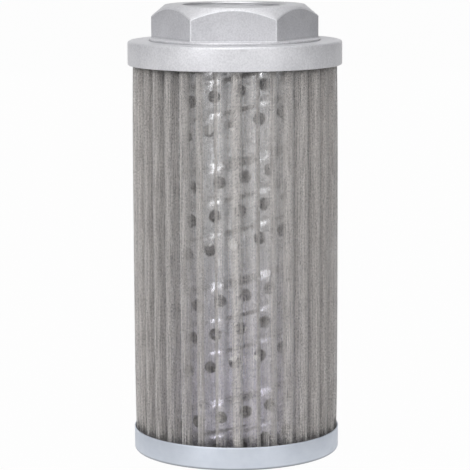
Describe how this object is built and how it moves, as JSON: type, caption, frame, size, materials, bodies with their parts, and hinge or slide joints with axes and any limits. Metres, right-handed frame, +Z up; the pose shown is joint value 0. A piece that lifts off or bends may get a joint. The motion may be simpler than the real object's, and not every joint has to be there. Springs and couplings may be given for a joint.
{
  "type": "hydraulic suction strainer",
  "caption": "Suction strainer for a hydraulic tank: pleated wire cloth round a perforated spiral tube, between a hexagon-headed cast cap with a female pipe thread and a pressed closing cap.",
  "frame": {"origin": "centre of the closing cap's foot, on the surface that the strainer stands on", "axes": "+Z up along the strainer's axis towards the threaded port; -Y towards the lap seam and one flat of the hexagon"},
  "size_m": [0.068, 0.068, 0.143],
  "materials": {
    "cast_aluminium": "fine blasted casting, matt",
    "resin": "set resin, dull",
    "wire_cloth": "woven stainless wire, satin",
    "galvanised_strip": "galvanised strip, semi-bright",
    "zinc_plate": "bright zinc plate, satin"
  },
  "bodies": {
    "root": {"hex_cap": "cast_aluminium", "top_potting": "resin", "pleated_mesh": "wire_cloth", "core_tube": "galvanised_strip", "bottom_potting": "resin", "bottom_cap": "zinc_plate"}
  },
  "joints": []
}
